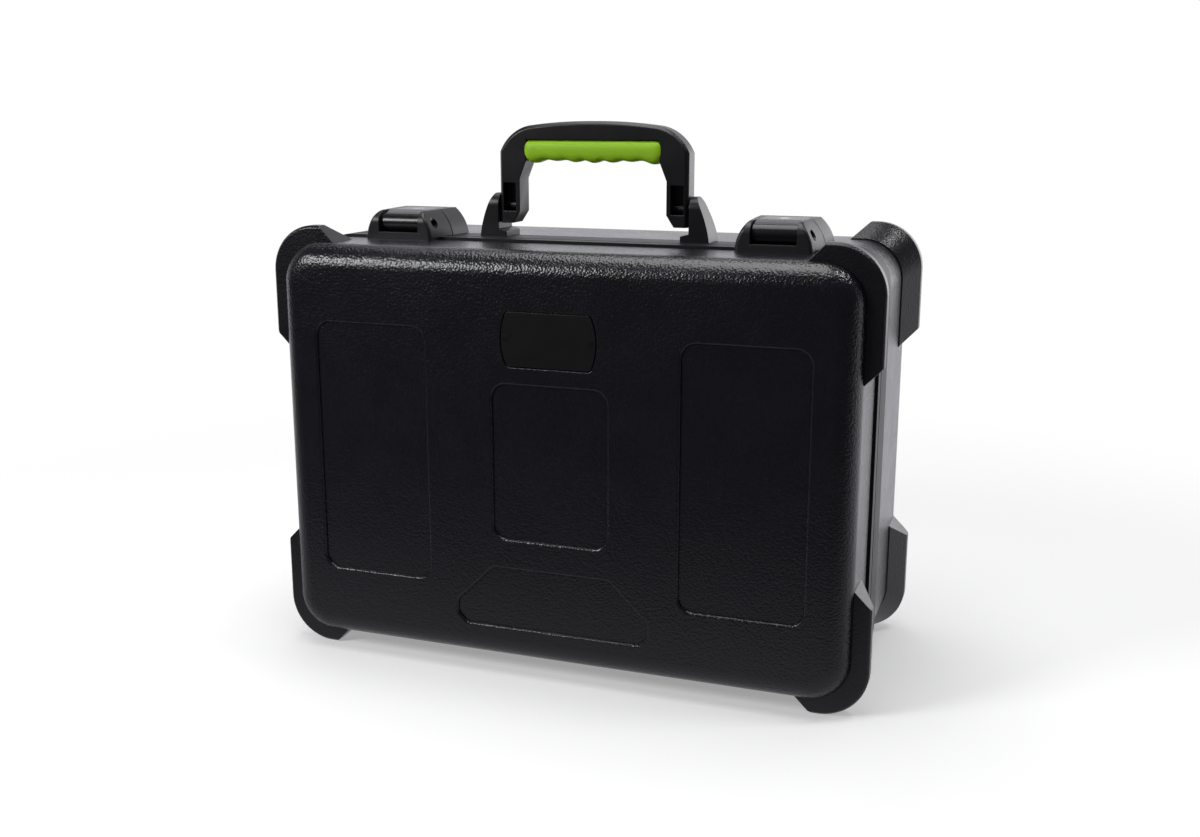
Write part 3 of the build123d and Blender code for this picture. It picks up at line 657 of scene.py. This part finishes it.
def add_rounded_rectangle(curve, half_x, half_y, radius):
    """A rectangle about the origin with quarter circles for its corners."""
    pull = quarter_circle_pull * radius
    points, handles = [], []
    for sx, sy in ((1, -1), (1, 1), (-1, 1), (-1, -1)):
        along = (sx * (half_x - radius), sy * half_y)
        upward = (sx * half_x, sy * (half_y - radius))
        bend_along = ((0, 0), (sx * pull, 0))
        bend_upward = ((0, sy * pull), (0, 0))
        if sx * sy < 0:
            points += [along, upward]
            handles += [bend_along, bend_upward]
        else:
            points += [upward, along]
            handles += [bend_upward[::-1], bend_along[::-1]]
    add_loop(curve, points, handles)


# %% Foam block
outline = bpy.data.curves.new("foam_outline", "CURVE")
outline.dimensions = "2D"
outline.fill_mode = "BOTH"
outline.resolution_u = 10
half_wide = (foam_high.x - foam_low.x) / 2 - lip
half_high = (foam_high.z - foam_low.z) / 2 - lip
add_rounded_rectangle(outline, half_wide, half_high, foam_corner - lip)
for row in (-1, 0, 1):
    for column in (-2, -1, 0, 1, 2):
        add_circle(outline, column * hole_pitch[0], row * hole_pitch[1], hole_radius + lip)
outline.extrude = (foam_high.y - foam_low.y) / 2 - lip
outline.bevel_depth = lip
outline.bevel_resolution = 3
drawing = bpy.data.objects.new("foam_drawing", outline)
scene.collection.objects.link(drawing)
bpy.context.view_layer.update()
drawn = drawing.evaluated_get(bpy.context.evaluated_depsgraph_get())
filled = bpy.data.meshes.new_from_object(drawn)
bpy.data.objects.remove(drawing)

bm = bmesh.new()
bm.from_mesh(filled)
bmesh.ops.rotate(bm, verts=bm.verts, matrix=Matrix.Rotation(math.pi / 2, 3, "X"))
bmesh.ops.translate(bm, verts=bm.verts, vec=foam_middle)
bmesh.ops.remove_doubles(bm, verts=bm.verts, dist=merge_distance)
bmesh.ops.recalc_face_normals(bm, faces=bm.faces)
foam_block = piece_from(bm, "microphone_foam_block", foam_black, "tray")
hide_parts(*foam_nodes)
print("foam block:", len(foam_block.data.polygons), "faces")

# %% [markdown]
# ## Lid foam and back pad
# The lid is lined with convoluted foam, whose soft peaks hold the microphones' heads, and the tray
# has a plain pad at its back. Both are a grid pulled in at the corners, shaped by a formula and
# then extruded back to the wall. Near its rim the open face falls away, as foam does that is held
# at its edge.

# %% Lining pads
grid_columns = 150
grid_rows = 104
pad_corner = 29 * mm
peak_spacing = 30 * mm
rim_band = 12 * mm
rim_fall = 3 * mm


def lining(name, node, towards, peak, roll):
    """A pad in a node's box, with peaks on its open face and its back drawn in by the roll."""
    low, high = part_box(node)
    middle = (low + high) / 2
    half = (high - low) / 2
    bm = bmesh.new()
    bmesh.ops.create_grid(bm, x_segments=grid_columns, y_segments=grid_rows, size=1.0)
    open_y, back_y = (high.y, low.y) if towards > 0 else (low.y, high.y)
    for vert in bm.verts:
        x = vert.co.x * half.x
        z = vert.co.y * half.z
        over_x = abs(x) - (half.x - pad_corner)
        over_z = abs(z) - (half.z - pad_corner)
        if over_x > 0 and over_z > 0:
            pull_in = min(1.0, pad_corner / math.hypot(over_x, over_z))
            x = math.copysign(half.x - pad_corner + over_x * pull_in, x)
            z = math.copysign(half.z - pad_corner + over_z * pull_in, z)
        waves = sum(math.cos(2 * math.pi * along / peak_spacing) for along in (x, z))
        wave = 0.5 + 0.25 * waves
        edge = min(half.x - abs(x), half.z - abs(z), rim_band) / rim_band
        fall = (1 - wave) * peak + rim_fall * (1 - edge) ** 2
        vert.co = (middle.x + x, open_y - towards * fall, middle.z + z)
    grown = bmesh.ops.extrude_face_region(bm, geom=list(bm.faces))["geom"]
    for item in grown:
        if isinstance(item, bmesh.types.BMVert):
            item.co.y = back_y
            item.co.x = middle.x + (item.co.x - middle.x) * (1 - roll / half.x)
            item.co.z = middle.z + (item.co.z - middle.z) * (1 - roll / half.z)
    bmesh.ops.recalc_face_normals(bm, faces=bm.faces)
    pad = piece_from(bm, name, foam_black, nodes[node]["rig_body"])
    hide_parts(node)
    return pad


lid_lining = lining("lid_lining", "lid_foam", towards=1, peak=11 * mm, roll=15.5 * mm)
tray_lining = lining("tray_back_pad", "tray_pad", towards=-1, peak=0.0, roll=19.5 * mm)
print("linings:", len(lid_lining.data.polygons), len(tray_lining.data.polygons), "faces")

# %% [markdown]
# ## The floor
# The floor is a large white sheet. To a glossy surface it is a light that is white behind the case
# and nearly dark in front of it, so the case's sides reflect white and its face stays black. To
# the camera it is plain paint with the case's shadow on it, lifted a little, and it fades to pure
# white further out, where it meets the background.

# %% Floor
floor_size = 12.0
bm = bmesh.new()
bmesh.ops.create_grid(bm, x_segments=1, y_segments=1, size=floor_size / 2)
floor_mesh = bpy.data.meshes.new("floor")
bm.to_mesh(floor_mesh)
bm.free()
floor = bpy.data.objects.new("floor", floor_mesh)
floor.location.z = -0.2 * mm
scene.collection.objects.link(floor)
print("floor, m:", floor_size)

# %% Floor paint
paint_colour = (0.82, 0.82, 0.82, 1)
camera_lift = 0.32
fade_from, fade_to = 0.45, 1.1
mirror_dark_y, mirror_white_y = -0.7, 0.6
mirror_darkest = 0.05
cool_white = (0.95, 0.95, 1.0, 1)

floor_paint = bpy.data.materials.new("floor_paint")
floor_paint.use_nodes = True
tree = floor_paint.node_tree
tree.nodes.clear()
rays = add_node(tree, "ShaderNodeLightPath")
place = add_node(tree, "ShaderNodeTexCoord").outputs["Object"]
distance = add_node(tree, "ShaderNodeVectorMath", operation="LENGTH")
join(tree, place, distance.inputs[0])
parts_of_place = add_node(tree, "ShaderNodeSeparateXYZ")
join(tree, place, parts_of_place.inputs[0])

matte = add_node(tree, "ShaderNodeBsdfDiffuse", Color=paint_colour)
lift = add_node(tree, "ShaderNodeEmission", Color=white)
lifted = math_node(tree, "MULTIPLY", rays.outputs["Is Camera Ray"], camera_lift)
join(tree, lifted, lift.inputs["Strength"])
near_floor = add_node(tree, "ShaderNodeAddShader")
join(tree, matte.outputs[0], near_floor.inputs[0])
join(tree, lift.outputs[0], near_floor.inputs[1])

far_floor = add_node(tree, "ShaderNodeEmission", Color=white)
far = ranged(tree, distance.outputs["Value"], fade_from, fade_to, 0.0, 1.0)
far_and_seen = math_node(tree, "MULTIPLY", far, rays.outputs["Is Camera Ray"])
seen_floor = mixed_shader(tree, far_and_seen, near_floor.outputs[0], far_floor.outputs[0])

mirrored = add_node(tree, "ShaderNodeEmission", Color=cool_white)
back_light = ranged(
    tree, parts_of_place.outputs["Y"], mirror_dark_y, mirror_white_y, mirror_darkest, 1.0
)
join(tree, back_light, mirrored.inputs["Strength"])
whole_floor = mixed_shader(tree, rays.outputs["Is Glossy Ray"], seen_floor, mirrored.outputs[0])
output = add_node(tree, "ShaderNodeOutputMaterial")
join(tree, whole_floor, output.inputs["Surface"])
floor_mesh.materials.append(floor_paint)
print("floor paint:", len(tree.nodes), "nodes")

# %% [markdown]
# ## The surroundings
# Black plastic is mostly what it reflects. The surroundings are white low behind the case, grey at
# its sides, and dark in front of it and above. The world carries that change as a sum of how far
# behind, how high and how far to the side a direction points. The camera sees plain white.

# %% World
height_share = 0.6
side_share = 0.3
white_from = 0.85
darkest = 0.06

world = bpy.data.worlds.new("studio")
scene.world = world
world.use_nodes = True
tree = world.node_tree
tree.nodes.clear()
rays = add_node(tree, "ShaderNodeLightPath")
direction = add_node(tree, "ShaderNodeTexCoord").outputs["Generated"]
parts_of_direction = add_node(tree, "ShaderNodeSeparateXYZ")
join(tree, direction, parts_of_direction.inputs[0])
upward = math_node(tree, "MULTIPLY", parts_of_direction.outputs["Z"], height_share)
aside = math_node(tree, "ABSOLUTE", parts_of_direction.outputs["X"])
backward = math_node(tree, "SUBTRACT", parts_of_direction.outputs["Y"], upward)
sideways = math_node(tree, "MULTIPLY", aside, side_share)
low_and_behind = math_node(tree, "ADD", backward, sideways)
sweep = ranged(tree, low_and_behind, 0.0, white_from, darkest, 1.0)
surround = add_node(tree, "ShaderNodeBackground", Color=cool_white)
join(tree, sweep, surround.inputs["Strength"])
seen = add_node(tree, "ShaderNodeBackground", Color=white)
whole_world = mixed_shader(
    tree, rays.outputs["Is Camera Ray"], surround.outputs[0], seen.outputs[0]
)
output = add_node(tree, "ShaderNodeOutputWorld")
join(tree, whole_world, output.inputs["Surface"])
print("world:", len(tree.nodes), "nodes")

# %% [markdown]
# ## The lamps
# A large soft lamp hangs overhead, with a small one beside it. A third stands at the front left,
# and a low one far behind gives the sides and the top their pale sheen. All are soft and none is
# strong, so that the plastic keeps its colour.

# %% Lamps


def soft_lamp(name, place, size, watts):
    """A rectangular soft lamp that faces the case."""
    data = bpy.data.lights.new(name, "AREA")
    data.shape = "RECTANGLE"
    data.size, data.size_y = size
    data.energy = watts
    lamp = bpy.data.objects.new(name, data)
    lamp.location = place
    lamp.rotation_euler = (lamp_aim - Vector(place)).to_track_quat("-Z", "Y").to_euler()
    scene.collection.objects.link(lamp)


lamp_aim = Vector((0, 0, 0.2))
soft_lamp("overhead_lamp", (-0.1, -0.05, 1.75), size=(1.5, 0.9), watts=16)
soft_lamp("corner_lamp", (0.92, 0.08, 1.70), size=(0.25, 0.25), watts=5)
soft_lamp("front_left_lamp", (-1.3, -1.5, 1.3), size=(0.7, 0.7), watts=22)
soft_lamp("back_lamp", (1.1, 2.2, 0.55), size=(1.6, 1.0), watts=6)
print("lamps, W:", [lamp.energy for lamp in bpy.data.lights])
